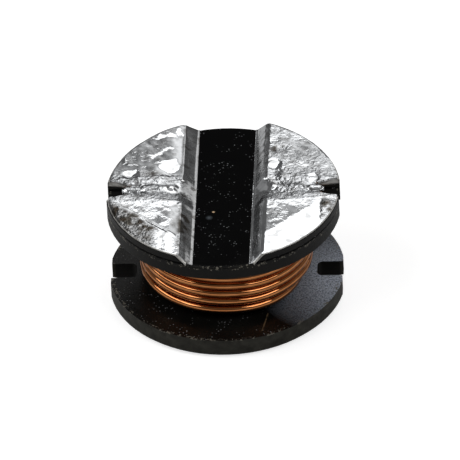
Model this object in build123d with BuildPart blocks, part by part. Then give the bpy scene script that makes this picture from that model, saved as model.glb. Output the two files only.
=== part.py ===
from build123d import *
import os
from math import cos, radians, sin, tan

# An open surface-mount power inductor: a ferrite drum, one enamelled copper wire wound on its post,
# and two metallised lands with solder over the wire's ends. Millimetres, +Z up, terminals on top.
# The origin is in the middle of the plain flange's underside. X runs from notch to notch, and Y along
# the groove between the two terminals.

# Overall sizes
flange_across = 10.0
flange_deep = 10.0
total_height = 5.4

# Drum
plain_flange_thickness = 0.93
plain_flat_length = 1.78
plain_rim_chamfer = 0.2
terminal_flat_length = 1.28
winding_window = 3.33
post_diameter = 4.74
post_root_chamfer = 0.2

# Notches, groove and troughs
notch_width = 1.0
notch_depth = 1.1
notch_corner_radius = 0.25
groove_width = 3.5
groove_wall_angle = 45
groove_depth = 0.35
groove_foot_radius = 0.1
groove_lip_radius = 0.15
trough_depth = 0.46
trough_inner_width = 2.0
trough_wall_angle = 40

# Wire and its layers
wire_diameter = 0.38
bare_wire_diameter = 0.36
turn_pitch = 0.41
layer_pitch = 0.33
turn_flats = 4
layer_count = 4
outer_turns = 6
winding_clearance = 0.02

# Leads through the notches
lead_rise_angle = 30
lead_bend_radius = 0.3
lead_clearance = 0.05
lead_end_from_notch = 0.6

# Terminals and solder
land_metal = 0.05
land_foot_gap = 0.05
land_rim_gap = 0.03
solder_coat = 0.12
solder_rim_gap = 0.07
solder_rim_drop = 0.09
solder_flat_radius = 3.6
saddle_inner_depth = 0.3
saddle_outer_depth = 0.03

# Heights worked out from these
metal_top = total_height - solder_coat
ferrite_top = metal_top - land_metal
terminal_underside = plain_flange_thickness + winding_window
groove_floor = ferrite_top - groove_depth

# Half sizes
half_across = flange_across / 2
half_deep = flange_deep / 2
groove_foot = groove_width / 2 - groove_depth * tan(radians(groove_wall_angle))
notch_end = half_across - notch_depth
wire_radius = wire_diameter / 2
lead_radius = bare_wire_diameter / 2
margin = 1.0


def flange_outline(flat_length):
    """A flange from above: two long arcs that meet two short flats, each flat cut by a wire notch."""
    half_flat = flat_length / 2
    with BuildSketch() as outline:
        with BuildLine():
            back = ThreePointArc((-half_across, half_flat), (0, half_deep), (half_across, half_flat))
            right = Line(back @ 1, (half_across, -half_flat))
            front = ThreePointArc(right @ 1, (0, -half_deep), (-half_across, -half_flat))
            Line(front @ 1, back @ 0)
        make_face()
        with Locations((half_across, 0), (-half_across, 0)):
            Rectangle(2 * notch_depth, notch_width, mode=Mode.SUBTRACT)
        inner_corners = outline.vertices().filter_by(lambda v: abs(abs(v.X) - notch_end) < 1e-6)
        fillet(inner_corners, notch_corner_radius)
    return outline.sketch


def channel_cutter():
    """What the groove and the two troughs leave empty in the terminal flange."""
    trough_floor = ferrite_top - trough_depth
    wall_spread = trough_depth * tan(radians(trough_wall_angle))
    with BuildPart() as cutter:
        with BuildSketch(Plane.XZ) as groove:
            with BuildLine():
                Polyline(
                    (-groove_foot, groove_floor),
                    (groove_foot, groove_floor),
                    (groove_width / 2, ferrite_top),
                    (groove_width / 2, ferrite_top + margin),
                    (-groove_width / 2, ferrite_top + margin),
                    (-groove_width / 2, ferrite_top),
                    close=True,
                )
            make_face()
            fillet(groove.vertices().group_by(Axis.Y)[0], groove_foot_radius)
        extrude(amount=flange_deep, both=True)
        for place, width in ((groove_foot, trough_inner_width), (half_across + margin, notch_width)):
            with BuildSketch(Plane.YZ.offset(place)):
                with BuildLine():
                    Polyline(
                        (wall_spread - width / 2, trough_floor),
                        (width / 2 - wall_spread, trough_floor),
                        (width / 2, ferrite_top),
                        (width / 2, ferrite_top + margin),
                        (-width / 2, ferrite_top + margin),
                        (-width / 2, ferrite_top),
                        close=True,
                    )
                make_face()
        loft()
        mirror(about=Plane.YZ)
    return cutter.part


# Drum core: plain flange, post, terminal flange
with BuildPart() as drum_core:
    with BuildSketch():
        add(flange_outline(plain_flat_length))
    extrude(amount=plain_flange_thickness)
    underside = drum_core.faces().sort_by(Axis.Z)[0]
    chamfer(underside.edges(), plain_rim_chamfer)
    with BuildSketch(Plane.XY.offset(terminal_underside)):
        add(flange_outline(terminal_flat_length))
    extrude(amount=ferrite_top - terminal_underside)
    with BuildSketch(Plane.XY.offset(plain_flange_thickness)):
        Circle(post_diameter / 2)
    extrude(amount=winding_window)
    roots = drum_core.edges().filter_by(GeomType.CIRCLE)
    roots = roots.filter_by(lambda e: abs(e.radius - post_diameter / 2) < 1e-6)
    chamfer(roots, post_root_chamfer)
    add(channel_cutter(), mode=Mode.SUBTRACT)
    groove_face = drum_core.faces().filter_by(lambda f: abs(f.center().Z - groove_floor) < 1e-6)
    groove_ends = groove_face.edges().filter_by(lambda e: abs(e.center().Y) > half_deep / 2)
    fillet(groove_ends, groove_lip_radius)

# Winding: the outer layer's turns on a plain ring that stands for the layers inside it, and one lead
# at each notch
first_layer = post_diameter / 2 + winding_clearance + wire_radius
outer_layer = first_layer + (layer_count - 1) * layer_pitch
lead_run_height = terminal_underside - winding_clearance - lead_radius
top_turn = lead_run_height - lead_radius - winding_clearance - wire_radius
lowest_turn = top_turn - (outer_turns - 1) * turn_pitch

# The next layer in has one turn more, so it stands half a turn above and below the outer one
inner_layer = outer_layer - layer_pitch
inner_top = top_turn + turn_pitch / 2 + wire_radius
inner_bottom = lowest_turn - turn_pitch / 2 - wire_radius
bore = post_diameter / 2 + winding_clearance

# A turn's round outside stands as a few flats, from the valley below it to the valley above it
turns_outside = []
for turn_middle in [lowest_turn + turn * turn_pitch for turn in range(outer_turns)]:
    for flat in range(turn_flats):
        angle = radians(180 * flat / turn_flats - 90)
        corner_radius = outer_layer + wire_radius * cos(angle)
        corner_height = turn_middle + turn_pitch / 2 * sin(angle)
        turns_outside.append((corner_radius, corner_height))

lead_x = notch_end + lead_clearance + lead_radius
trough_lead_height = ferrite_top - trough_depth + land_metal + lead_clearance + lead_radius
rise = Vector(outer_layer - layer_pitch / 2, 0, top_turn - turn_pitch).rotate(Axis.Z, -lead_rise_angle)

with BuildPart() as right_lead:
    with BuildLine():
        route = FilletPolyline(
            rise,
            (rise.X, rise.Y, lead_run_height),
            (lead_x, 0, lead_run_height),
            (lead_x, 0, trough_lead_height),
            (notch_end - lead_end_from_notch, 0, trough_lead_height),
            radius=lead_bend_radius,
        )
    with BuildSketch(Plane(origin=route @ 0, z_dir=route % 0)):
        Circle(lead_radius)
    sweep()

with BuildPart() as winding:
    with BuildSketch(Plane.XZ):
        with BuildLine():
            Polyline(
                *turns_outside,
                (outer_layer, top_turn + turn_pitch / 2),
                (inner_layer, inner_top),
                (bore, inner_top),
                (bore, inner_bottom),
                (inner_layer, inner_bottom),
                close=True,
            )
        make_face()
    revolve(axis=Axis.Z)
    add(right_lead.part)
    add(right_lead.part.rotate(Axis.Z, 180))


def right_land(rim_gap):
    """The right half of the terminal flange from above, out from the groove's foot, in from the rim."""
    with BuildSketch() as land:
        offset(flange_outline(terminal_flat_length), amount=-rim_gap)
        with Locations((groove_foot + land_foot_gap - flange_across, 0)):
            Rectangle(2 * flange_across, 2 * flange_deep, mode=Mode.SUBTRACT)
    return land.sketch


# Terminals: metal on the land's flat, down the groove's wall and through the trough
with BuildPart() as terminal_right:
    with BuildSketch(Plane.XY.offset(terminal_underside)):
        add(right_land(land_rim_gap))
    extrude(amount=total_height - terminal_underside)
    add(drum_core.part.moved(Pos(0, 0, land_metal)), mode=Mode.INTERSECT)
    add(drum_core.part, mode=Mode.SUBTRACT)

with BuildPart() as terminal_left:
    mirror(terminal_right.part, about=Plane.YZ)


def solder_saddle():
    """The hollow along the trough: shallow by the notch, deep and wide where it opens into the groove."""
    sections = (
        (groove_foot, trough_inner_width / 2, saddle_inner_depth),
        (notch_end, notch_width / 2, saddle_outer_depth),
    )
    with BuildPart() as saddle:
        for place, half_width, depth in sections:
            radius = (half_width**2 + depth**2) / (2 * depth)
            with BuildSketch(Plane.YZ.offset(place)):
                with Locations((0, total_height + radius - depth)):
                    Circle(radius)
        loft()
        extrude(saddle.faces().sort_by(Axis.X)[-1], amount=notch_depth)
    return saddle.part


def solder_dome():
    """What bounds the solder from above: level in the middle of the part, and curved down to the rim."""
    with BuildPart() as dome:
        with BuildSketch(Plane.XZ):
            with BuildLine():
                level = Line((0, total_height), (solder_flat_radius, total_height))
                slope = TangentArc(
                    level @ 1,
                    (half_across, total_height - solder_rim_drop),
                    tangent=(1, 0),
                )
                Polyline(slope @ 1, (half_across + margin, 0), (0, 0), level @ 0)
            make_face()
        revolve(axis=Axis.Z)
    return dome.part


# Solder: a thin coat over the metal that fills the trough round the wire's end
with BuildPart() as solder_right:
    with BuildSketch(Plane.XY.offset(ferrite_top - trough_depth)):
        add(right_land(solder_rim_gap))
    extrude(amount=total_height - ferrite_top + trough_depth)
    add(solder_dome(), mode=Mode.INTERSECT)
    add(solder_saddle(), mode=Mode.SUBTRACT)
    with BuildSketch(Plane.XZ):
        with BuildLine():
            Polyline(
                (-groove_foot, groove_floor + land_metal + solder_coat),
                (groove_foot, groove_floor + land_metal + solder_coat),
                (groove_width / 2, total_height),
                (groove_width / 2, total_height + margin),
                (-groove_foot, total_height + margin),
                close=True,
            )
        make_face()
    extrude(amount=flange_deep, both=True, mode=Mode.SUBTRACT)
    add(drum_core.part, mode=Mode.SUBTRACT)
    add(terminal_right.part, mode=Mode.SUBTRACT)
    add(right_lead.part, mode=Mode.SUBTRACT)

with BuildPart() as solder_left:
    mirror(solder_right.part, about=Plane.YZ)

# Written files
os.makedirs("parts", exist_ok=True)
drum_core.part.label = "drum_core"
export_step(drum_core.part, "parts/drum_core.step")
winding.part.label = "winding"
export_step(winding.part, "parts/winding.step")
terminal_left.part.label = "terminal_left"
export_step(terminal_left.part, "parts/terminal_left.step")
terminal_right.part.label = "terminal_right"
export_step(terminal_right.part, "parts/terminal_right.step")
solder_left.part.label = "solder_left"
export_step(solder_left.part, "parts/solder_left.step")
solder_right.part.label = "solder_right"
export_step(solder_right.part, "parts/solder_right.step")
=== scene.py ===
import math

import bpy
from mathutils import Matrix, Vector, noise


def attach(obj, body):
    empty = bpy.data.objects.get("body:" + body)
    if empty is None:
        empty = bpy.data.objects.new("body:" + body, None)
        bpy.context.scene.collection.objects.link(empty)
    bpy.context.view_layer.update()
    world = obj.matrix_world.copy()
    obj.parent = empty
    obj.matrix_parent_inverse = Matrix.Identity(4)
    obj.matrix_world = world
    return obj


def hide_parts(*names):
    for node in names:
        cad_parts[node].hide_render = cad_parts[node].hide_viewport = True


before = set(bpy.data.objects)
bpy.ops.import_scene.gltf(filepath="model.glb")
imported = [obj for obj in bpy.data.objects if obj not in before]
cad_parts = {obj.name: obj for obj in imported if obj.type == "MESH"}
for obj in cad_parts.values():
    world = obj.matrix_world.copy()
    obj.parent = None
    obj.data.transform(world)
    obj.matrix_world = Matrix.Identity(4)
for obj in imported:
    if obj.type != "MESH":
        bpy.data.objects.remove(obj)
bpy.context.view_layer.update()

# An open drum inductor, terminals up: a dark ferrite drum, one enamelled copper wire, and two lands of
# bright crinkled solder. X runs from notch to notch, Y along the groove, and the part stands on Z = 0.
# Sizes are in millimetres until a piece is finished, and MM makes them metres.
MM = 0.001

# Drum. A flange's back arc has its middle a little in front of the part's, and the front arc behind it.
FLANGE_RADIUS = 5.047
FLANGE_CENTRE_SHIFT = 0.047
NOTCH_END = 3.9
NOTCH_HALF_WIDTH = 0.5
NOTCH_CORNER = 0.25
PLAIN_FLANGE_TOP = 0.93
GROOVE_FLOOR = 4.88
GROOVE_FOOT = 1.40
GROOVE_LIP = 1.75

# Wire
WIRE_RADIUS = 0.19
LAYER_PITCH = 0.33
FIRST_LAYER = 2.58
OUTER_LAYER = FIRST_LAYER + 3 * LAYER_PITCH
TURN_STEPS = 64
LEAD_X = 4.13
LEAD_RUN_HEIGHT = 4.06
LEAD_TOP = 5.14
LEAD_BEND = 0.34

# The three hidden layers, from the post outwards: first and last turn, first and last height
HIDDEN_LAYERS = (
    (-0.40, -5.60, 3.86, 1.40),
    (-5.62, -11.0, 1.55, 3.66),
    (-11.05, -15.79, 3.47, 1.285),
)

# The layer that is seen: its first and last turn, and its turns' heights at the front from the top down
OUTER_FIRST_TURN = 5.21
OUTER_LAST_TURN = -0.66
TURN_HEIGHTS = (3.60, 3.20, 2.80, 2.40, 2.00, 1.54, 1.28)

# Solder and the metal under it
METAL_TOP = 5.28
METAL_THICKNESS = 0.05
SOLDER_TOP = 5.40
SOLDER_LEVEL = SOLDER_TOP - 0.012
SOLDER_RIM_GAP = 0.07
SOLDER_FILM = 0.014


def deselect_all():
    """Nothing is selected, so that an operator acts only on what comes next."""
    bpy.ops.object.select_all(action="DESELECT")


def choose(piece):
    """Makes a piece the active object and the only selected one."""
    deselect_all()
    piece.select_set(True)
    bpy.context.view_layer.objects.active = piece


def set_size(piece):
    """Turns a piece modelled in millimetres at the origin into metres, in its mesh."""
    choose(piece)
    piece.scale = (MM, MM, MM)
    bpy.ops.object.transform_apply(location=False, rotation=False, scale=True)


def ease(low, high, value):
    """Goes smoothly from 0 at low to 1 at high."""
    share = min(max((value - low) / (high - low), 0.0), 1.0)
    return share * share * (3 - 2 * share)


# Materials
def new_material(name):
    """An empty node material, with its tree, output and shader."""
    material = bpy.data.materials.new(name)
    material.use_nodes = True
    tree = material.node_tree
    tree.nodes.clear()
    output = tree.nodes.new("ShaderNodeOutputMaterial")
    shader = tree.nodes.new("ShaderNodeBsdfPrincipled")
    tree.links.new(shader.outputs["BSDF"], output.inputs["Surface"])
    return material, tree, shader


def object_noise(tree, scale_per_mm, detail=3.0, roughness=0.5):
    """Noise fixed to the object. The scale is in features a millimetre."""
    place = tree.nodes.new("ShaderNodeTexCoord")
    pattern = tree.nodes.new("ShaderNodeTexNoise")
    pattern.inputs["Scale"].default_value = scale_per_mm / MM
    pattern.inputs["Detail"].default_value = detail
    pattern.inputs["Roughness"].default_value = roughness
    tree.links.new(place.outputs["Object"], pattern.inputs["Vector"])
    return pattern.outputs["Fac"]


def object_cells(tree, scale_per_mm):
    """The distance to the nearest of many scattered points fixed to the object."""
    place = tree.nodes.new("ShaderNodeTexCoord")
    pattern = tree.nodes.new("ShaderNodeTexVoronoi")
    pattern.inputs["Scale"].default_value = scale_per_mm / MM
    tree.links.new(place.outputs["Object"], pattern.inputs["Vector"])
    return pattern.outputs["Distance"]


def object_place(tree, axis):
    """How far along the X, Y or Z axis of the object a point is, in metres."""
    place = tree.nodes.new("ShaderNodeTexCoord")
    parts = tree.nodes.new("ShaderNodeSeparateXYZ")
    tree.links.new(place.outputs["Object"], parts.inputs["Vector"])
    return parts.outputs[axis]


def object_radius(tree):
    """How far a point is from the drum's axis, in metres."""
    place = tree.nodes.new("ShaderNodeTexCoord")
    level = tree.nodes.new("ShaderNodeVectorMath")
    level.operation = "MULTIPLY"
    level.inputs[1].default_value = (1, 1, 0)
    length = tree.nodes.new("ShaderNodeVectorMath")
    length.operation = "LENGTH"
    tree.links.new(place.outputs["Object"], level.inputs[0])
    tree.links.new(level.outputs["Vector"], length.inputs[0])
    return length.outputs["Value"]


def painted(tree, name):
    """A value painted on the piece's points."""
    node = tree.nodes.new("ShaderNodeAttribute")
    node.attribute_name = name
    return node.outputs["Fac"]


def ramp(tree, factor, stops):
    """A colour ramp over a factor. The stops are (position, colour)."""
    node = tree.nodes.new("ShaderNodeValToRGB")
    band = node.color_ramp
    while len(band.elements) < len(stops):
        band.elements.new(0.5)
    for element, (position, colour) in zip(band.elements, stops):
        element.position = position
        element.color = (*colour, 1)
    tree.links.new(factor, node.inputs["Fac"])
    return node.outputs["Color"]


def value_range(tree, factor, low, high, start=0.3, end=0.7):
    """A number that goes from low to high as the factor goes from start to end."""
    node = tree.nodes.new("ShaderNodeMapRange")
    node.inputs["From Min"].default_value = start
    node.inputs["From Max"].default_value = end
    node.inputs["To Min"].default_value = low
    node.inputs["To Max"].default_value = high
    tree.links.new(factor, node.inputs["Value"])
    return node.outputs["Result"]


def combined(tree, operation, first, *others):
    """Numbers put together one after another. All but the first may be plain numbers."""
    result = first
    for other in others:
        node = tree.nodes.new("ShaderNodeMath")
        node.operation = operation
        tree.links.new(result, node.inputs[0])
        if isinstance(other, (int, float)):
            node.inputs[1].default_value = other
        else:
            tree.links.new(other, node.inputs[1])
        result = node.outputs["Value"]
    return result


def product(tree, *numbers):
    """Numbers multiplied."""
    return combined(tree, "MULTIPLY", *numbers)


def total(tree, *numbers):
    """Numbers added."""
    return combined(tree, "ADD", *numbers)


def largest(tree, *numbers):
    """The largest of some numbers."""
    return combined(tree, "MAXIMUM", *numbers)


def between(tree, value, low, high, soft):
    """1 where a value lies between two others, and 0 outside them."""
    above = value_range(tree, value, 0.0, 1.0, low - soft, low)
    below = value_range(tree, value, 1.0, 0.0, high, high + soft)
    return product(tree, above, below)


def at_heights(tree, low_mm, high_mm, soft_mm=0.01):
    """1 where the object's surface lies between two heights, and 0 above and below them."""
    return between(tree, object_place(tree, "Z"), low_mm * MM, high_mm * MM, soft_mm * MM)


def mixed(tree, factor, first, second):
    """A colour between two, each a socket or a plain colour."""
    node = tree.nodes.new("ShaderNodeMix")
    node.data_type = "RGBA"
    tree.links.new(factor, node.inputs["Factor"])
    for name, colour in (("A", first), ("B", second)):
        socket = [s for s in node.inputs if s.name == name and s.type == "RGBA"][0]
        if isinstance(colour, tuple):
            socket.default_value = (*colour, 1)
        else:
            tree.links.new(colour, socket)
    return [s for s in node.outputs if s.type == "RGBA"][0]


def bump(tree, shader, height, distance_mm, strength=1.0):
    """Bump of a real height in millimetres."""
    node = tree.nodes.new("ShaderNodeBump")
    node.inputs["Strength"].default_value = strength
    node.inputs["Distance"].default_value = distance_mm * MM
    tree.links.new(height, node.inputs["Height"])
    tree.links.new(node.outputs["Normal"], shader.inputs["Normal"])


def near_point(tree, place_mm, inner_mm, outer_mm):
    """1 close to one point of the object, and 0 away from it."""
    place = tree.nodes.new("ShaderNodeTexCoord")
    away = tree.nodes.new("ShaderNodeVectorMath")
    away.operation = "DISTANCE"
    away.inputs[1].default_value = [part * MM for part in place_mm]
    tree.links.new(place.outputs["Object"], away.inputs[0])
    return value_range(tree, away.outputs["Value"], 1.0, 0.0, inner_mm * MM, outer_mm * MM)


def near_line(tree, start_mm, end_mm, inner_mm, outer_mm):
    """1 close to a straight line between two points of the object, and 0 away from it."""
    start = Vector(start_mm) * MM
    end = Vector(end_mm) * MM
    length = (end - start).length
    direction = (end - start).normalized()
    place = tree.nodes.new("ShaderNodeTexCoord")
    offset = tree.nodes.new("ShaderNodeVectorMath")
    offset.operation = "SUBTRACT"
    offset.inputs[1].default_value = start
    tree.links.new(place.outputs["Object"], offset.inputs[0])
    along = tree.nodes.new("ShaderNodeVectorMath")
    along.operation = "DOT_PRODUCT"
    along.inputs[1].default_value = direction
    tree.links.new(offset.outputs["Vector"], along.inputs[0])
    nearest = tree.nodes.new("ShaderNodeVectorMath")
    nearest.operation = "SCALE"
    nearest.inputs[0].default_value = direction
    within = value_range(tree, along.outputs["Value"], 0.0, length, 0.0, length)
    tree.links.new(within, nearest.inputs["Scale"])
    away = tree.nodes.new("ShaderNodeVectorMath")
    away.operation = "DISTANCE"
    tree.links.new(offset.outputs["Vector"], away.inputs[0])
    tree.links.new(nearest.outputs["Vector"], away.inputs[1])
    return value_range(tree, away.outputs["Value"], 1.0, 0.0, inner_mm * MM, outer_mm * MM)


def painted_sheen(tree, where):
    """A painted pale sheen in fine sparkles, a painted highlight on the right-hand side of the plain flange.
    """
    right_side = near_point(tree, (5.0, -0.9, PLAIN_FLANGE_TOP), 0.9, 3.8)
    fine = value_range(tree, object_noise(tree, 13, detail=3, roughness=0.75), 0.25, 1.0, 0.38, 0.58)
    return product(tree, right_side, fine, where)


def pale_grains(tree, where):
    """Tiny pale grains that lie in clusters on the pressed faces."""
    near = value_range(tree, object_cells(tree, 7.0), 1.0, 0.0, 0.10, 0.26)
    clusters = value_range(tree, object_noise(tree, 1.7, detail=1), 0.0, 1.0, 0.50, 0.62)
    return product(tree, near, clusters, where)


def brown_line(tree):
    """One thin brown line, broken in places, on the front of the plain flange."""
    line = near_line(tree, (1.87, -3.12, PLAIN_FLANGE_TOP), (1.65, -4.33, PLAIN_FLANGE_TOP), 0.012, 0.045)
    in_pieces = value_range(tree, object_noise(tree, 5, detail=2), 0.2, 1.0, 0.38, 0.55)
    return product(tree, line, in_pieces)


def chips(tree, rim):
    """Small chips along the groove's open ends and the plain flange's upper edge."""
    groove_ends = at_heights(tree, GROOVE_FLOOR - 0.16, GROOVE_FLOOR, 0.02)
    flange_edge = at_heights(tree, PLAIN_FLANGE_TOP - 0.05, PLAIN_FLANGE_TOP + 0.02)
    edges = largest(tree, groove_ends, flange_edge)
    broken = value_range(tree, object_noise(tree, 7.0, detail=3, roughness=0.7), 0.0, 1.0, 0.56, 0.60)
    return product(tree, edges, rim, broken)


def ferrite_material():
    """Sintered ferrite: near black with an olive cast, and smooth where the press faced it. Its plain
    flange's wall has painted light: a lighter olive grey than the rest.
    """
    material, tree, shader = new_material("sintered_ferrite")
    mottle = object_noise(tree, 0.9, detail=4)
    rim = value_range(tree, object_radius(tree), 0.0, 1.0, 4.86 * MM, 4.92 * MM)
    groove = at_heights(tree, GROOVE_FLOOR - 0.01, GROOVE_FLOOR + 0.09)
    flange_top = at_heights(tree, PLAIN_FLANGE_TOP - 0.005, PLAIN_FLANGE_TOP + 0.03)
    plain_wall = at_heights(tree, 0.0, PLAIN_FLANGE_TOP - 0.02)
    pressed = largest(tree, groove, flange_top)
    flake = near_point(tree, (-0.39, -1.07, GROOVE_FLOOR), 0.04, 0.07)
    smear = near_point(tree, (-0.56, -1.47, GROOVE_FLOOR), 0.02, 0.17)
    # The plain flange's wall is painted a lighter olive grey than the rest of the ferrite: painted light
    lit_wall_mottle = object_noise(tree, 2.6, detail=4)
    lit_wall_olive = ramp(tree, lit_wall_mottle, [(0.3, (0.020, 0.019, 0.015)), (0.7, (0.048, 0.046, 0.038))])
    colour = ramp(tree, mottle, [(0.3, (0.0036, 0.0035, 0.0031)), (0.7, (0.0080, 0.0077, 0.0066))])
    # Each mark lies over those before it
    for where, mark in (
        (product(tree, plain_wall, rim), lit_wall_olive),
        (groove, (0.0016, 0.0016, 0.0017)),
        # A painted pale sheen on the right of the plain flange's top
        (painted_sheen(tree, flange_top), (0.50, 0.56, 0.66)),
        (pale_grains(tree, pressed), (0.17, 0.175, 0.18)),
        (flake, (0.62, 0.44, 0.27)),
        (product(tree, smear, 0.5), (0.14, 0.16, 0.18)),
        (brown_line(tree), (0.12, 0.08, 0.045)),
        (chips(tree, rim), (0.16, 0.15, 0.125)),
    ):
        colour = mixed(tree, where, colour, mark)
    tree.links.new(colour, shader.inputs["Base Color"])
    smooth = total(tree, groove, product(tree, flange_top, 0.45))
    even = value_range(tree, smooth, 0.40, 0.06, 0.0, 1.0)
    rough = total(tree, even, value_range(tree, mottle, -0.02, 0.04))
    tree.links.new(rough, shader.inputs["Roughness"])
    shine = value_range(tree, groove, 0.13, 0.025, 0.0, 1.0)
    tree.links.new(shine, shader.inputs["Specular IOR Level"])
    unpressed = value_range(tree, groove, 1.0, 0.06, 0.0, 1.0)
    bump(tree, shader, product(tree, object_noise(tree, 15, detail=2), unpressed), 0.010, 0.8)
    return material


def enamel_material():
    """Clear enamel over copper: a glossy orange-brown metal. The stripped ends in the solder are tinned."""
    material, tree, shader = new_material("enamelled_copper_wire")
    streak = object_noise(tree, 1.4, detail=2)
    copper = ramp(tree, streak, [(0.3, (0.37, 0.128, 0.035)), (0.7, (0.51, 0.20, 0.066))])
    tinned = value_range(tree, object_place(tree, "Z"), 0.0, 1.0, 5.02 * MM, 5.25 * MM)
    colour = mixed(tree, tinned, copper, (0.42, 0.39, 0.34))
    tree.links.new(colour, shader.inputs["Base Color"])
    shader.inputs["Metallic"].default_value = 1.0
    tree.links.new(value_range(tree, streak, 0.06, 0.10), shader.inputs["Roughness"])
    shader.inputs["Coat Weight"].default_value = 0.3
    shader.inputs["Coat Roughness"].default_value = 0.06
    bump(tree, shader, object_noise(tree, 5, detail=2), 0.003, 0.4)
    return material


def solder_material():
    """Bright solder: mirror-like in places, frosted where it crinkled, and dull with flux in others. The
    left land's groove wall is painted dark: painted shade.
    """
    material, tree, shader = new_material("bright_solder")
    frost = painted(tree, "frost")
    flux_and_shade = painted(tree, "flux_and_shade")
    cloud = object_noise(tree, 2.3, detail=5)
    bright = ramp(tree, cloud, [(0.3, (0.72, 0.735, 0.75)), (0.7, (0.90, 0.915, 0.93))])
    grey_spots = object_noise(tree, 6, detail=3)
    grey = ramp(tree, grey_spots, [(0.35, (0.26, 0.265, 0.275)), (0.62, (0.68, 0.695, 0.71))])
    brown_spots = object_noise(tree, 5, detail=3)
    brown = ramp(tree, brown_spots, [(0.35, (0.10, 0.095, 0.085)), (0.68, (0.045, 0.030, 0.018))])
    colour = mixed(tree, product(tree, frost, 0.9), bright, grey)
    colour = mixed(tree, flux_and_shade, colour, brown)
    tree.links.new(colour, shader.inputs["Base Color"])
    shader.inputs["Metallic"].default_value = 1.0
    smooth = value_range(tree, cloud, 0.03, 0.07)
    rough = total(tree, smooth, product(tree, frost, 0.06), product(tree, flux_and_shade, 0.16))
    tree.links.new(rough, shader.inputs["Roughness"])
    fine = object_noise(tree, 9, detail=2, roughness=0.45)
    coarse = object_noise(tree, 3.6, detail=3, roughness=0.5)
    crinkle = total(tree, fine, product(tree, coarse, 1.8))
    amount = total(tree, product(tree, combined(tree, "POWER", frost, 1.25), 0.96), 0.04)
    bump(tree, shader, product(tree, crinkle, amount), 0.034)
    return material


def silver_material():
    """The fired silver under the solder, seen as a thin rim."""
    material, tree, shader = new_material("fired_silver")
    cloud = object_noise(tree, 3, detail=3)
    colour = ramp(tree, cloud, [(0.3, (0.30, 0.29, 0.27)), (0.7, (0.55, 0.54, 0.52))])
    tree.links.new(colour, shader.inputs["Base Color"])
    shader.inputs["Metallic"].default_value = 1.0
    tree.links.new(value_range(tree, cloud, 0.28, 0.42), shader.inputs["Roughness"])
    bump(tree, shader, object_noise(tree, 20, detail=2), 0.004, 0.5)
    return material


def seen_by_rays(tree, *kinds):
    """1 for the kinds of ray that are named, and 0 for the others."""
    rays = tree.nodes.new("ShaderNodeLightPath")
    return largest(tree, *(rays.outputs[kind] for kind in kinds))


def table_material():
    """A white table that keeps the part's shadow. It glows for the camera, and in front for shiny pieces."""
    material, tree, shader = new_material("white_table")
    shader.inputs["Base Color"].default_value = (0.66, 0.66, 0.66, 1)
    shader.inputs["Roughness"].default_value = 0.9
    shader.inputs["Specular IOR Level"].default_value = 0.0
    # Shiny pieces see the glow fade near the part, as a painted shadow round it, and fade behind it
    far = value_range(tree, object_radius(tree), 0.04, 0.70, 8 * MM, 32 * MM)
    in_front = value_range(tree, object_place(tree, "Y"), 1.0, 0.10, 0.0, 10 * MM)
    for_shiny = product(tree, seen_by_rays(tree, "Is Glossy Ray", "Is Transmission Ray"), far, in_front)
    for_camera = product(tree, seen_by_rays(tree, "Is Camera Ray"), 0.72)
    shader.inputs["Emission Color"].default_value = (1, 1, 1, 1)
    tree.links.new(largest(tree, for_shiny, for_camera), shader.inputs["Emission Strength"])
    return material


ferrite = ferrite_material()
enamel = enamel_material()
solder = solder_material()
silver = silver_material()


# Wire
def on_post(radius, turn, height):
    """A point on the winding. Turns count from the front and go to the right."""
    angle = 2 * math.pi * turn
    wander = noise.noise(Vector((2.2 * math.sin(angle), 2.2 * math.cos(angle), 1.7 * height)))
    loose = noise.noise(Vector((1.6 * math.cos(angle), 1.6 * math.sin(angle), 2.3 * height + 9)))
    radius += 0.016 * wander
    return Vector((radius * math.sin(angle), -radius * math.cos(angle), height + 0.03 * loose))


def layer(radius, first_turn, last_turn, first_height, last_height):
    """One layer of turns at an even pitch. The wire always turns the same way, so turns count down."""
    count = round((first_turn - last_turn) * TURN_STEPS)
    points = []
    for step in range(count + 1):
        share = step / count
        turn = first_turn + (last_turn - first_turn) * share
        points.append(on_post(radius, turn, first_height + (last_height - first_height) * share))
    return points


def outer_layer_points():
    """The layer that is seen, going up. It starts with the climb out of the third layer."""
    climb_end = OUTER_FIRST_TURN - 0.14
    count = round((OUTER_FIRST_TURN - OUTER_LAST_TURN) * TURN_STEPS)
    points = []
    for step in range(count + 1):
        turn = OUTER_FIRST_TURN + (OUTER_LAST_TURN - OUTER_FIRST_TURN) * step / count
        whole = min(max(math.floor(turn), 0), len(TURN_HEIGHTS) - 2)
        share = turn - whole
        # Some of each turn's drop is just to the right of the front, and the rest is spread evenly
        share = 0.78 * share + 0.22 * ease(0.0, 0.09, share)
        height = TURN_HEIGHTS[whole] + (TURN_HEIGHTS[whole + 1] - TURN_HEIGHTS[whole]) * share
        below = 1 - ease(OUTER_FIRST_TURN, climb_end, turn) if turn > climb_end else 0.0
        points.append(on_post(OUTER_LAYER - LAYER_PITCH * below, turn, height - 0.20 * below))
    return points


def bent_lead(corners, bend):
    """A run of straight pieces with each corner rounded."""
    points = [corners[0]]
    for before, corner, after in zip(corners, corners[1:], corners[2:]):
        start = corner + (before - corner).normalized() * bend
        end = corner + (after - corner).normalized() * bend
        for step in range(9):
            share = step / 8
            first = start.lerp(corner, share)
            points.append(first.lerp(corner.lerp(end, share), share))
    points.append(corners[-1])
    return points


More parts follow.
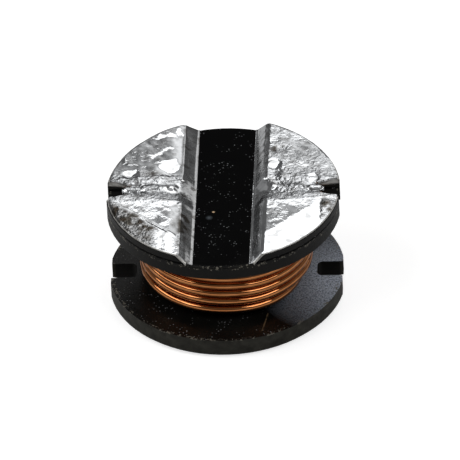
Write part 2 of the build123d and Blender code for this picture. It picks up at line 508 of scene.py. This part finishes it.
def wire_route():
    """The one wire from end to end: left trough and notch, four layers, right notch and trough."""
    left = [
        Vector((-2.1, 0.15, LEAD_TOP - 0.08)),
        Vector((-LEAD_X, 0.05, LEAD_TOP)),
        Vector((-LEAD_X, 0.0, LEAD_RUN_HEIGHT)),
        Vector((-1.61, 2.01, LEAD_RUN_HEIGHT - 0.08)),
    ]
    right = [
        Vector((3.08, 1.81, 3.93)),
        Vector((LEAD_X, 0.0, LEAD_RUN_HEIGHT)),
        Vector((LEAD_X, 0.05, LEAD_TOP)),
        Vector((2.0, 0.12, LEAD_TOP - 0.08)),
    ]
    route = bent_lead(left, LEAD_BEND)
    for number, (first_turn, last_turn, first_height, last_height) in enumerate(HIDDEN_LAYERS):
        radius = FIRST_LAYER + number * LAYER_PITCH
        route += layer(radius, first_turn, last_turn, first_height, last_height)
    return route + outer_layer_points() + bent_lead(right, LEAD_BEND)


def wound_wire():
    """The wire as one tube."""
    curve = bpy.data.curves.new("wound_wire", "CURVE")
    curve.dimensions = "3D"
    curve.bevel_depth = WIRE_RADIUS
    curve.bevel_resolution = 4
    curve.use_fill_caps = True
    route = wire_route()
    line = curve.splines.new("POLY")
    line.points.add(len(route) - 1)
    for point, place in zip(line.points, route):
        point.co = (*place, 1)
    piece = bpy.data.objects.new("wound_wire", curve)
    bpy.context.scene.collection.objects.link(piece)
    choose(piece)
    bpy.ops.object.convert(target="MESH")
    piece = bpy.context.view_layer.objects.active
    set_size(piece)
    bpy.ops.object.shade_smooth()
    piece.data.materials.clear()
    piece.data.materials.append(enamel)
    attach(piece, "root")
    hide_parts("winding")


wound_wire()


# Solder lands. Out is the distance from the groove's middle, and y runs along the groove.
LAND_ROWS = 256
LAND_COLUMNS = 96

# The outline at the notch: the tongue over the wire's end, the rounded corner, and the back's wider gap
TONGUE = 0.52
NOTCH_FILLET = 0.20
NOTCH_BACK_SPREAD = 0.10

# Of a half land's rows, the share that ends on the notch's end, and the share that also takes its side
NOTCH_END_SHARE = 0.11
NOTCH_SIDE_SHARE = 0.22

# Where those rows start on the groove's foot, as y
FOOT_AT_NOTCH_END = 0.75
FOOT_AT_NOTCH_SIDE = 1.25

# Each mound is its middle, its reach each way and its height, which is below 0 for a hollow
RIGHT_MOUNDS = (
    ((2.04, 0.20), (0.46, 0.58), 0.105),
    ((2.20, 1.20), (0.42, 0.78), -0.055),
    ((2.35, 2.75), (0.60, 0.42), -0.030),
    ((3.84, 0.62), (0.25, 0.16), 0.025),
    ((3.85, 0.02), (0.75, 0.46), -0.16),
    ((3.20, 2.30), (0.90, 0.60), 0.012),
    ((2.50, -0.75), (0.45, 0.30), -0.020),
    ((1.80, 0.20), (0.90, 1.90), -0.025),
)
LEFT_MOUNDS = (
    ((2.18, 0.13), (0.52, 0.52), 0.110),
    ((2.25, 1.00), (0.78, 1.20), -0.078),
    ((4.02, 0.88), (0.48, 0.40), -0.032),
    ((3.85, 0.02), (0.75, 0.46), -0.16),
    ((3.05, 1.00), (0.55, 0.35), -0.022),
    ((3.55, -0.75), (0.60, 0.30), 0.018),
    ((2.90, -2.10), (0.60, 0.50), -0.014),
    ((1.90, 0.20), (1.20, 2.40), -0.030),
)

# Each ridge is its two ends, its half width and its height
RIGHT_RIDGES = (
    ((2.30, 0.88), (4.10, 0.84), 0.12, 0.010),
    ((2.30, -0.95), (4.70, -0.66), 0.12, 0.012),
    ((3.40, 0.06), (3.00, 0.10), 0.22, 0.06),
    ((3.90, 0.05), (2.20, 0.15), 0.30, 0.050),
)
LEFT_RIDGES = (
    ((2.40, 0.90), (4.30, 0.72), 0.09, 0.014),
    ((5.00, -0.67), (3.71, -1.83), 0.11, 0.020),
    ((3.71, -1.83), (1.96, -3.28), 0.11, 0.020),
    ((3.40, 0.06), (2.90, 0.10), 0.24, 0.07),
    ((3.90, 0.05), (2.20, 0.15), 0.30, 0.055),
)

# Each clear patch, where the solder isn't crinkled, is its middle and its reach
RIGHT_CLEAR = (
    ((2.02, 0.16), 0.42),
    ((2.14, 1.66), 0.42),
    ((3.85, 0.65), 0.35),
)
LEFT_CLEAR = (
    ((2.14, 0.12), 0.48),
    ((2.25, 1.65), 0.80),
    ((4.02, 1.10), 0.45),
)

# Each dull patch is its middle, its reach each way and how dull it is
RIGHT_FLUX = (
    ((2.35, 2.75), (0.60, 0.40), 0.6),
    ((4.50, -1.35), (0.42, 0.75), 0.8),
    ((2.40, 0.35), (0.35, 0.30), 0.6),
)
LEFT_FLUX_AND_SHADE = (
    ((3.78, -2.15), (0.85, 0.50), 0.95),
    ((3.05, 1.00), (0.60, 0.40), 0.6),
    ((4.35, -1.55), (0.55, 0.60), 0.8),
    ((3.20, -2.75), (0.50, 0.30), 0.7),
    # This patch is painted shade on the front of the left groove wall
    ((1.75, -2.40), (0.50, 1.50), 0.70),
)


def land_places(foot):
    """Where each row of the land starts, at the groove's foot, and ends, on the outline.

    From the notch's middle, the outline goes round the notch's end, along its side and round the rim.
    """
    rim = FLANGE_RADIUS - SOLDER_RIM_GAP
    gap_end = NOTCH_END - SOLDER_RIM_GAP
    gap_side = NOTCH_HALF_WIDTH + SOLDER_RIM_GAP
    inner_side = gap_side - NOTCH_FILLET
    high_angle = math.acos((foot + 0.55) / rim)
    foot_end = math.sqrt(rim**2 - foot**2) - FLANGE_CENTRE_SHIFT - 0.01
    rows = []
    for row in range(LAND_ROWS + 1):
        way = 2 * row / LAND_ROWS - 1
        side = 1 if way > 0 else -1
        share = abs(way)
        rim_side = gap_side + (NOTCH_BACK_SPREAD if way > 0 else 0.0)
        low_angle = math.asin((rim_side + FLANGE_CENTRE_SHIFT) / rim)
        if share < NOTCH_END_SHARE:
            part = share / NOTCH_END_SHARE
            turn = ease(0.45, 1.0, part) * math.pi / 2
            y = min(part / 0.45, 1.0) * (inner_side - NOTCH_CORNER) + NOTCH_CORNER * math.sin(turn)
            out = gap_end + NOTCH_CORNER * (1 - math.cos(turn))
            out += TONGUE * ease(0.30, 0.06, y)
            foot_y = FOOT_AT_NOTCH_END * part
        elif share < NOTCH_SIDE_SHARE:
            part = (share - NOTCH_END_SHARE) / (NOTCH_SIDE_SHARE - NOTCH_END_SHARE)
            y = gap_side - NOTCH_FILLET * (1 - part) ** 2 + part * (rim_side - gap_side)
            corner_out = gap_end + NOTCH_CORNER
            out = corner_out + part * (rim * math.cos(low_angle) - corner_out)
            foot_y = FOOT_AT_NOTCH_END + part * (FOOT_AT_NOTCH_SIDE - FOOT_AT_NOTCH_END)
        else:
            part = (share - NOTCH_SIDE_SHARE) / (1 - NOTCH_SIDE_SHARE)
            angle = low_angle + part * (high_angle - low_angle)
            y = rim * math.sin(angle) - FLANGE_CENTRE_SHIFT
            out = rim * math.cos(angle)
            foot_y = FOOT_AT_NOTCH_SIDE + part * (foot_end - FOOT_AT_NOTCH_SIDE)
        if share < NOTCH_SIDE_SHARE + 0.02:
            ragged = noise.noise(Vector((out * 4, side * y * 4, foot)))
            out += 0.05 * ragged
            y -= 0.05 * abs(ragged)
        rows.append(((foot, side * foot_y), (out, side * y)))
    return rows


def mound_height(out, y, mounds):
    """What the mounds and hollows add."""
    added = 0.0
    for middle, reach, height in mounds:
        away = math.hypot((out - middle[0]) / reach[0], (y - middle[1]) / reach[1])
        added += height * (1 - ease(0.0, 1.0, away))
    return added


def ridge_height(out, y, ridges):
    """What the ridges add."""
    added = 0.0
    for start, end, half_width, height in ridges:
        along = (end[0] - start[0], end[1] - start[1])
        length = along[0] ** 2 + along[1] ** 2
        share = ((out - start[0]) * along[0] + (y - start[1]) * along[1]) / length
        share = min(max(share, 0.0), 1.0)
        away = math.hypot(out - start[0] - share * along[0], y - start[1] - share * along[1])
        added += height * (1 - ease(0.0, half_width, away))
    return added


def trough_depth_at(out, y):
    """How deep the trough's hollow is, and 0 outside it. It is wide and deep at the groove."""
    inward = min(max((NOTCH_END - out) / (NOTCH_END - GROOVE_LIP), 0.0), 1.0)
    half_width = 0.62 + 0.33 * inward
    across = abs(y - 0.02) / half_width
    if across >= 1:
        return 0.0
    depth = 0.035 + 0.15 * inward**2
    return depth * (1 - across**2) ** 1.5


def under_solder(out, y):
    """The solder's underside: on the land, along the groove's wall and down in the trough."""
    wall = GROOVE_FLOOR + 0.006 + max(out - GROOVE_FOOT, 0.0)
    inward = min(max((NOTCH_END - out) / (NOTCH_END - GROOVE_FOOT), 0.0), 1.0)
    half_width = 0.46 + 0.5 * inward
    trough = METAL_TOP - 0.40 * (1 - ease(half_width - 0.36, half_width, abs(y)))
    return min(wall, METAL_TOP, trough)


def metal_surface(out, y):
    """What the solder stays above: the land's metal, the wall's, and in the trough its own underside."""
    wall = GROOVE_FLOOR + METAL_THICKNESS + out - GROOVE_FOOT
    return min(wall, METAL_TOP, under_solder(out, y) + 0.1)


def lead_cover(out, y):
    """The solder that clings round the wire's end, with a round tip at the bend."""
    radius = WIRE_RADIUS + 0.05
    sinking = 0.30 * max(3.75 - out, 0.0)
    across = math.hypot(y - 0.05, max(out - LEAD_X, 0.0))
    if across >= radius:
        return 0.0
    return LEAD_TOP - sinking + math.sqrt(radius**2 - across**2)


def wall_rise(out, foot, lip):
    """The groove's wall, from 0 at its foot to 1 on the land, with both corners rounded."""
    share = (out - foot) / (lip - foot)
    foot_round = 0.08
    lip_round = 0.32
    if share < -foot_round:
        return 0.0
    if share < foot_round:
        return (share + foot_round) ** 2 / (4 * foot_round)
    if share > 1 + lip_round:
        return 1.0
    if share > 1 - lip_round:
        return share - (share - 1 + lip_round) ** 2 / (4 * lip_round)
    return share


def held_below(limit, value, soft):
    """A value that levels off smoothly under a limit."""
    knee = limit - soft
    if value <= knee:
        return value
    return knee + soft * math.tanh((value - knee) / soft)


def towards_front_corner(out, y):
    """How far a place lies towards the land's front outer corner."""
    return (out - y) / math.sqrt(2)


def crease_at(side, y):
    """How far towards that corner the front facet starts."""
    if side > 0:
        return 3.69
    return 3.92 - 0.10 * max(-y - 1.8, 0.0)


def land_top(side, out, y, foot, lip):
    """The solder's surface."""
    mounds = RIGHT_MOUNDS if side > 0 else LEFT_MOUNDS
    ridges = RIGHT_RIDGES if side > 0 else LEFT_RIDGES
    top = SOLDER_LEVEL + mound_height(out, y, mounds) + ridge_height(out, y, ridges)
    top -= trough_depth_at(out, y)

    # The front facet slopes down from its crease, and the rest is domed, less at the back
    past = towards_front_corner(out, y) - crease_at(side, y)
    facet = ease(-0.1, 0.2, past)
    top -= math.tan(math.radians(4.3)) * (past + math.hypot(past, 0.14)) / 2
    back = ease(3.3, 4.4, y)
    doming = (0.010 + 0.022 * ease(-0.6, 0.6, y)) * (1 - back)
    top -= doming * (1 - facet) * max(math.hypot(out, y) - 3.3, 0.0) ** 2 / 2.8

    # Swells, ripples and crinkles, calmer on the facet and in front
    place = Vector((side * out, y, 0.0))
    swell = noise.noise(place * 1.3 + Vector((3, 1, side)))
    ripple = noise.noise(place * 3.4 + Vector((7, 2, side)))
    fine = noise.noise(place * 8.5 + Vector((2, 6, side)))
    uneven = 0.020 * swell + 0.008 * ripple + 0.009 * frost_at(side, out, y) * fine
    top += uneven * (1 - 0.7 * facet) * (0.55 + 0.45 * ease(-1.2, 0.2, y))

    # The left land leans down to the groove, and both roll off at the rim
    brim = ease(2.40, GROOVE_LIP, out) if side < 0 else 0.0
    top -= 0.085 * brim**1.5 * ease(0.85, 1.15, abs(y)) * (1 - 0.9 * back)
    from_rim = FLANGE_RADIUS - SOLDER_RIM_GAP - math.hypot(out, abs(y) + FLANGE_CENTRE_SHIFT)
    top -= 0.022 * (1 - ease(0.0, 0.14, from_rim)) ** 2
    top = held_below(SOLDER_TOP, top, 0.02)

    # Down the groove's wall, and never thinner than a film over the metal
    wall_bottom = GROOVE_FLOOR + 0.012
    height = wall_bottom + (top - wall_bottom) * wall_rise(out, foot + 0.06, lip)
    spare = height - metal_surface(out, y) - SOLDER_FILM
    height += 0.5 * (math.hypot(spare, 0.012) - spare)
    return max(height, lead_cover(out, y))


def frost_at(side, out, y):
    """How crinkled the solder is, from 0 to 1."""
    place = Vector((side * out, y, 0.0))
    patchy = noise.noise(place * 1.1 + Vector((1, 5, side)))
    trough = 1 - ease(0.4, 1.5, abs(y - 0.1))
    diagonal = towards_front_corner(out, y)
    if side > 0:
        amount = 0.45 + 0.40 * trough + 0.35 * patchy
        # Smoother in front, like a mirror on the facet, smoother at the back rim, and scaly by the notch
        amount -= 0.35 * ease(-0.7, -1.3, y)
        amount *= 1 - 0.97 * ease(3.60, 3.78, diagonal) * ease(4.45, 4.1, out)
        amount *= 1 - 0.6 * ease(2.0, 3.0, y) * ease(2.9, 3.6, out)
        amount += 0.6 * ease(4.15, 4.4, out) * ease(-0.8, -1.1, y)
        clear = RIGHT_CLEAR
    else:
        amount = 0.40 + 0.45 * trough + 0.35 * patchy
        # Smooth at the back, smoother in front, and scaly on the facet
        amount *= 1 - 0.85 * ease(0.9, 1.5, y)
        amount *= 1 - 0.65 * ease(-0.8, -1.4, y)
        amount += 0.55 * ease(3.9, 4.1, diagonal) * ease(2.5, 3.0, out)
        clear = LEFT_CLEAR
    # Less on the groove's wall, and none in the middle of a clear patch
    amount *= 0.35 + 0.65 * ease(1.60, 1.90, out)
    for middle, reach in clear:
        away = math.hypot(out - middle[0], y - middle[1])
        amount *= ease(0.55 * reach, reach, away)
    return min(max(amount, 0.0), 1.0)


def flux_and_shade_at(side, out, y):
    """How dull and brown the solder is, from 0 to 1: flux, and painted shade on the left land's groove wall.
    """
    place = Vector((side * out, y, 0.0))
    patchy = noise.noise(place * 3.1 + Vector((4, 8, side)))
    amount = 0.35 * ease(0.22, 0.45, patchy)
    if side < 0:
        # The left land has painted shade on the groove's wall, and is dull and brown on the front facet
        amount += 0.45 * ease(1.90, 1.70, out)
        amount += 0.50 * ease(3.9, 4.1, towards_front_corner(out, y)) * ease(2.6, 3.2, out)
    patches = LEFT_FLUX_AND_SHADE if side < 0 else RIGHT_FLUX
    for middle, reach, strength in patches:
        away = math.hypot((out - middle[0]) / reach[0], (y - middle[1]) / reach[1])
        amount += strength * (1 - ease(0.35, 1.0, away)) * ease(-0.25, 0.15, patchy)
    return min(max(amount, 0.0), 1.0)


def shape_top(piece, side, foot, lip):
    """Moves a flat grid's points to the solder's surface."""
    rows = land_places(foot)
    for point in piece.data.vertices:
        row = round((point.co.y + 1) / 2 * LAND_ROWS)
        share = (point.co.x + 1) / 2
        start, end = rows[row]
        out = start[0] + (end[0] - start[0]) * share
        y = start[1] + (end[1] - start[1]) * share
        point.co = (side * out, y, land_top(side, out, y, foot, lip))


def add_underside(piece):
    """Gives the sheet its thickness, down to the metal, and thin where it hangs over the notch."""
    bpy.ops.object.mode_set(mode="EDIT")
    bpy.ops.mesh.select_all(action="SELECT")
    bpy.ops.mesh.extrude_region_move(TRANSFORM_OT_translate={"value": (0, 0, -1)})
    bpy.ops.object.mode_set(mode="OBJECT")
    for point in piece.data.vertices:
        if point.select:
            out, y = abs(point.co.x), point.co.y
            top = point.co.z + 1
            thickest = 0.10 + 0.45 * ease(NOTCH_END + 0.06, NOTCH_END - 0.10, out)
            point.co.z = max(min(under_solder(out, y), top - 0.012), top - thickest)
    bpy.ops.object.mode_set(mode="EDIT")
    bpy.ops.mesh.select_all(action="SELECT")
    bpy.ops.mesh.normals_make_consistent(inside=False)
    bpy.ops.object.mode_set(mode="OBJECT")


def paint_finish(piece, side):
    """Paints how crinkled and how dull each point is, for the material. The dullness holds flux and painted
    shade.
    """
    frost = piece.data.attributes.new("frost", "FLOAT", "POINT")
    flux_and_shade = piece.data.attributes.new("flux_and_shade", "FLOAT", "POINT")
    for number, point in enumerate(piece.data.vertices):
        out, y = abs(point.co.x), point.co.y
        frost.data[number].value = frost_at(side, out, y)
        flux_and_shade.data[number].value = flux_and_shade_at(side, out, y)


def solder_land(name, side, foot, lip):
    """One land's solder, on the right for side 1 and on the left for side -1.

    The foot and the lip are where the groove's wall starts and ends.
    """
    deselect_all()
    bpy.ops.mesh.primitive_grid_add(x_subdivisions=LAND_COLUMNS, y_subdivisions=LAND_ROWS, size=2)
    piece = bpy.context.active_object
    piece.name = name
    shape_top(piece, side, foot, lip)
    add_underside(piece)
    paint_finish(piece, side)
    set_size(piece)
    bpy.ops.object.shade_smooth_by_angle(angle=math.radians(60))
    piece.data.materials.append(solder)
    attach(piece, "root")
    return piece


right_solder = solder_land("right_solder", side=1, foot=1.26, lip=1.80)
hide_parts("solder_right")
left_solder = solder_land("left_solder", side=-1, foot=1.17, lip=1.86)
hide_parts("solder_left")

# The drum and the terminals keep their CAD shape
for node, material in (
    ("drum_core", ferrite),
    ("terminal_left", silver),
    ("terminal_right", silver),
):
    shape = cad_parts[node]
    shape.data.materials.clear()
    shape.data.materials.append(material)


# Table, lights and world
def white_table():
    """The table that the part stands on, a hair below it so that the two faces don't fight."""
    deselect_all()
    bpy.ops.mesh.primitive_plane_add(size=0.8, location=(0, 0, -0.01 * MM))
    table = bpy.context.active_object
    table.name = "white_table"
    table.data.materials.append(table_material())


def soft_light(name, azimuth, elevation, distance, width, height, share):
    """A soft panel that faces the part. Azimuth 0 is the camera's side and 90 is the right, in degrees.

    The share is how bright a white surface that faces it gets, where 1 is white.
    """
    panel = bpy.data.lights.new(name, "AREA")
    panel.shape = "RECTANGLE"
    panel.size = width
    panel.size_y = height
    panel.energy = math.pi**2 * distance**2 * share
    lamp = bpy.data.objects.new(name, panel)
    bpy.context.scene.collection.objects.link(lamp)
    turn = math.radians(azimuth)
    lift = math.radians(elevation)
    away = Vector((math.sin(turn) * math.cos(lift), -math.cos(turn) * math.cos(lift), math.sin(lift)))
    lamp.location = away * distance
    lamp.rotation_euler = away.to_track_quat("Z", "Y").to_euler()


def studio_world():
    """A dim studio, white for the camera. Shiny pieces see its panels, by their direction from -1 to 1."""
    world = bpy.data.worlds.new("studio")
    world.use_nodes = True
    tree = world.node_tree
    sky = tree.nodes["Background"]
    sky.inputs["Color"].default_value = (1, 1, 1, 1)
    place = tree.nodes.new("ShaderNodeTexCoord")
    parts = tree.nodes.new("ShaderNodeSeparateXYZ")
    tree.links.new(place.outputs["Generated"], parts.inputs["Vector"])
    x, y, z = (parts.outputs[axis] for axis in "XYZ")

    # White panels behind the part, a wide one and a taller one that is graded towards the right
    away = total(tree, product(tree, y, 0.97), product(tree, x, 0.24))
    behind = value_range(tree, away, 0.0, 1.0, 0.66, 0.84)
    wide_grading = value_range(tree, x, 0.2, 1.0, -0.3, 0.0)
    wide_panel = product(tree, between(tree, z, 0.37, 0.48, 0.04), behind, wide_grading)
    tall_grading = value_range(tree, x, 0.10, 1.0, -0.16, 0.08)
    tall_panel = product(tree, between(tree, z, 0.37, 0.66, 0.04), tall_grading, behind)

    # A white band low in front, and a dim glow from behind
    low_band = value_range(tree, z, 1.0, 0.0, 0.05, 0.12)
    low_band = product(tree, low_band, value_range(tree, y, 1.0, 0.0, 0.1, 0.4))
    back_glow = value_range(tree, y, 0.0, 0.06, -0.1, 0.3)

    # Grey panels for the views from the sides, from behind and from the top
    aside = between(tree, combined(tree, "ABSOLUTE", x, 0.0), 0.62, 1.1, 0.08)
    side_panels = product(tree, aside, 0.20, between(tree, z, 0.15, 0.60, 0.05))
    front_panel = value_range(tree, y, 0.0, 0.16, -0.4, -0.7)
    front_panel = product(tree, front_panel, between(tree, z, 0.40, 0.80, 0.08))
    top_panel = value_range(tree, z, 0.0, 0.30, 0.84, 0.92)

    panels = (wide_panel, tall_panel, low_band, back_glow, side_panels, front_panel, top_panel)
    for_shiny = seen_by_rays(tree, "Is Glossy Ray", "Is Transmission Ray")
    for_shiny = product(tree, for_shiny, largest(tree, *panels))
    seen = largest(tree, for_shiny, seen_by_rays(tree, "Is Camera Ray"))
    tree.links.new(value_range(tree, seen, 0.05, 1.0, 0.0, 1.0), sky.inputs["Strength"])
    bpy.context.scene.world = world


# Camera, in metres and degrees
CAMERA_AIM = Vector((0.202, 0.157, 2.957)) * MM
CAMERA_DISTANCE = 0.5945
CAMERA_AZIMUTH = 3.674
CAMERA_ELEVATION = 37.398
CAMERA_ROLL = -2.955
CAMERA_LENS = 1078.9


def photo_camera():
    """The photograph's view: a long lens, from the front and above, with a slight roll."""
    turn = math.radians(CAMERA_AZIMUTH)
    lift = math.radians(CAMERA_ELEVATION)
    roll = math.radians(CAMERA_ROLL)
    back = Vector((math.sin(turn) * math.cos(lift), -math.cos(turn) * math.cos(lift), math.sin(lift)))
    level = Vector((math.cos(turn), math.sin(turn), 0))
    upright = back.cross(level)
    right = math.cos(roll) * level + math.sin(roll) * upright
    up = -math.sin(roll) * level + math.cos(roll) * upright
    lens = bpy.data.cameras.new("camera")
    lens.lens = CAMERA_LENS
    lens.clip_start = 0.01
    lens.clip_end = 10
    camera = bpy.data.objects.new("camera", lens)
    bpy.context.scene.collection.objects.link(camera)
    place = Matrix((right, up, back)).transposed().to_4x4()
    place.translation = CAMERA_AIM + back * CAMERA_DISTANCE
    camera.matrix_world = place
    bpy.context.scene.camera = camera


white_table()
soft_light("left_softbox", azimuth=-76, elevation=48, distance=0.16, width=0.15, height=0.064, share=0.42)
soft_light("right_softbox", azimuth=57, elevation=48, distance=0.16, width=0.090, height=0.064, share=0.26)
soft_light("back_softbox", azimuth=167.5, elevation=59, distance=0.20, width=0.13, height=0.125, share=0.19)
studio_world()
photo_camera()
bpy.context.scene.view_settings.view_transform = "Standard"
